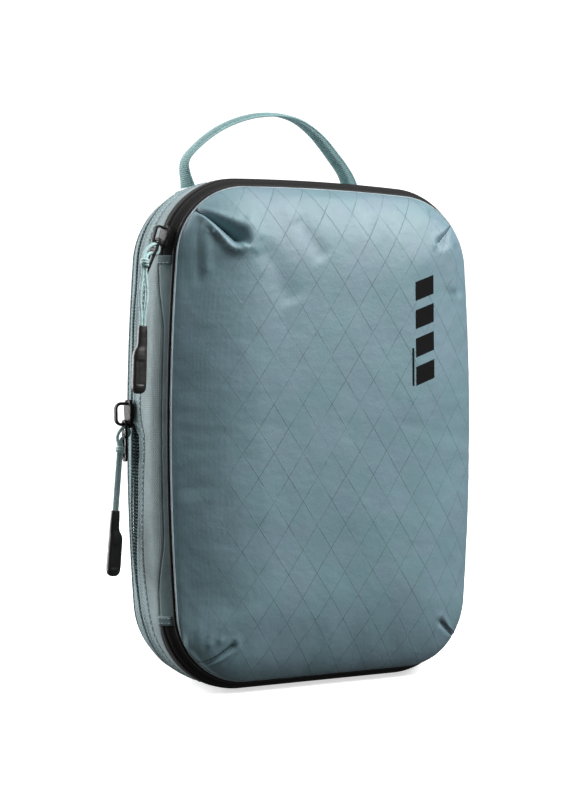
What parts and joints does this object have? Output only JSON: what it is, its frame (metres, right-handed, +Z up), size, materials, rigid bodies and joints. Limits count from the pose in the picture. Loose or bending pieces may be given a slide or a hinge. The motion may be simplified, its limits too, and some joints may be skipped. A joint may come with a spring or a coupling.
{
  "type": "packing cube",
  "caption": "Soft zipped packing cube with a hinged lid, a compression zip round its wall, a webbing carry handle and two corded zip pulls.",
  "frame": {"origin": "middle of the flat bottom edge that the case stands on", "axes": "+X towards the lid's opening side on the right, -Y out of the lid, +Z up to the handle"},
  "size_m": [0.2022, 0.0796, 0.304],
  "materials": {
    "coated_ripstop": "semi-gloss coated ripstop with a diamond line pattern",
    "gusset_fabric": "matt plain weave",
    "spine_fabric": "matt plain weave",
    "teal_zip_twill": "herringbone woven zip tape",
    "black_zip_tape": "woven zip tape",
    "black_zip_coil": "nylon coil",
    "dark_zip_coil": "nylon coil",
    "black_piping": "smooth corded piping",
    "seam_binding": "folded binding tape",
    "handle_webbing": "ribbed flat webbing",
    "black_slider_metal": "semi-gloss black paint",
    "pull_cord": "braided cord",
    "grip_rubber": "smooth moulded rubber"
  },
  "bodies": {
    "case": {"middle_gusset": "gusset_fabric", "spine_panel": "spine_fabric", "spine_top_tab": "spine_fabric", "spine_bottom_tab": "spine_fabric", "main_zip_case_tape": "black_zip_tape", "main_zip_case_coil": "black_zip_coil", "compression_zip_front_tape": "teal_zip_twill", "compression_zip_front_coil": "dark_zip_coil", "case_seam_binding": "seam_binding", "expansion_gusset": "gusset_fabric"},
    "lid": {"front_panel": "coated_ripstop", "front_piping": "black_piping", "main_zip_lid_tape": "black_zip_tape", "main_zip_lid_coil": "black_zip_coil", "lid_seam_binding": "seam_binding"},
    "rear_section": {"rear_panel": "coated_ripstop", "rear_piping": "spine_fabric", "compression_zip_rear_tape": "teal_zip_twill", "compression_zip_rear_coil": "dark_zip_coil", "rear_seam_binding": "seam_binding", "handle_anchor_left": "handle_webbing", "handle_anchor_right": "handle_webbing"},
    "handle": {"handle_webbing": "handle_webbing"},
    "main_slider": {"main_slider_body": "black_slider_metal"},
    "main_tab": {"main_pull_tab": "black_slider_metal"},
    "main_cord": {"main_pull_cord": "pull_cord", "main_pull_knot": "pull_cord", "main_pull_grip": "grip_rubber"},
    "compression_slider": {"compression_slider_body": "black_slider_metal"},
    "compression_tab": {"compression_pull_tab": "black_slider_metal"},
    "compression_cord": {"compression_pull_cord": "pull_cord", "compression_pull_knot": "pull_cord", "compression_pull_grip": "grip_rubber"}
  },
  "joints": [
    {"name": "lid_hinge", "type": "hinge", "parent": "case", "child": "lid", "pos_m": [-0.087, -0.022, 0.131], "axis": [0, 0, -1], "range_deg": [0, 110]},
    {"name": "expansion_slide", "type": "slide", "parent": "case", "child": "rear_section", "axis": [0, 1, 0], "range_m": [0, 0.04], "deforming": ["expansion_gusset"]},
    {"name": "handle_flop", "type": "hinge", "parent": "rear_section", "child": "handle", "pos_m": [0, 0.0266, 0.264], "axis": [1, 0, 0], "range_deg": [-75, 75]},
    {"name": "main_slider_travel", "type": "hinge", "parent": "case", "child": "main_slider", "pos_m": [-0.04582, -0.0139, 0.21696], "axis": [0, 1, 0], "range_deg": [0, 55]},
    {"name": "main_tab_lift", "type": "hinge", "parent": "main_slider", "child": "main_tab", "pos_m": [-0.09185, -0.016, 0.23137], "axis": [-0.3522, 0.9271, 0.1282], "range_deg": [0, 100]},
    {"name": "main_cord_swing", "type": "hinge", "parent": "main_tab", "child": "main_cord", "pos_m": [-0.09564, -0.01865, 0.22222], "axis": [1, 0, 0], "range_deg": [-25, 12]},
    {"name": "compression_slider_travel", "type": "slide", "parent": "case", "child": "compression_slider", "axis": [0.0245, 0.0429, 0.9988], "range_m": [0, 0.045]},
    {"name": "compression_tab_lift", "type": "hinge", "parent": "compression_slider", "child": "compression_tab", "pos_m": [-0.09856, 0.01131, 0.13835], "axis": [0, 0.9991, -0.043], "range_deg": [0, 100]},
    {"name": "compression_cord_swing", "type": "hinge", "parent": "compression_tab", "child": "compression_cord", "pos_m": [-0.09856, 0.00859, 0.12846], "axis": [1, 0, 0], "range_deg": [-25, 25]}
  ]
}
